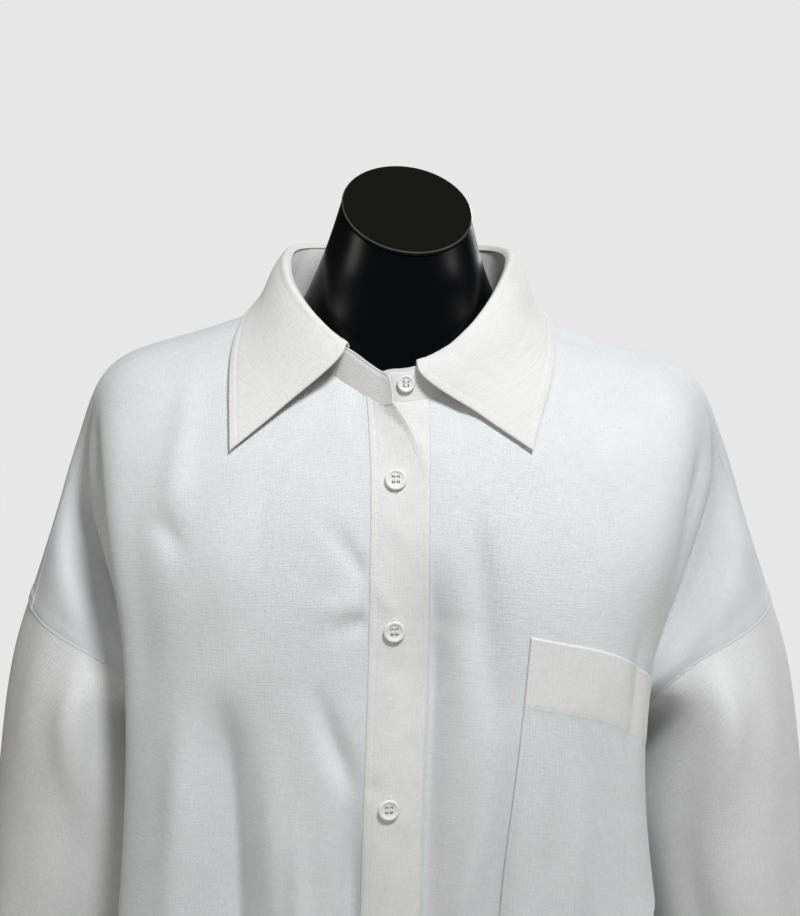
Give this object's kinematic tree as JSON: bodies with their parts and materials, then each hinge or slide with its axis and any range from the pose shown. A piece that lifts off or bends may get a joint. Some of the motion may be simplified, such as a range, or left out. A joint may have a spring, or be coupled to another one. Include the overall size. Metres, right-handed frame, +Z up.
{
  "type": "oversized shirt on a limbless dress form",
  "caption": "Loose drop-shoulder cotton shirt with an open collar, breast pocket and long cuffed sleeves, hanging on a limbless dress form on a round stand.",
  "frame": {"origin": "centre of the underside of the stand's round base, on the floor", "axes": "+Z up; -Y out of the shirt's front; +X towards the wearer's left"},
  "size_m": [0.6132, 0.3, 0.9171],
  "materials": {
    "cotton": "matte woven twill",
    "button": "semi-gloss",
    "form": "gloss",
    "steel": "satin"
  },
  "bodies": {
    "root": {"front_right": "cotton", "front_left": "cotton", "back": "cotton", "yoke": "cotton", "placket_under": "cotton", "placket_over": "cotton", "pocket": "cotton", "collar_stand": "cotton", "collar_fall": "cotton", "sleeve_right": "cotton", "sleeve_left": "cotton", "cuff_right": "cotton", "cuff_left": "cotton", "cuff_button_right": "button", "cuff_button_left": "button", "button_1": "button", "button_2": "button", "button_3": "button", "button_4": "button", "button_5": "button", "button_6": "button", "collar_button": "button", "form": "form", "neck_cap": "form", "stand_pole": "steel", "stand_base": "steel"}
  },
  "joints": []
}
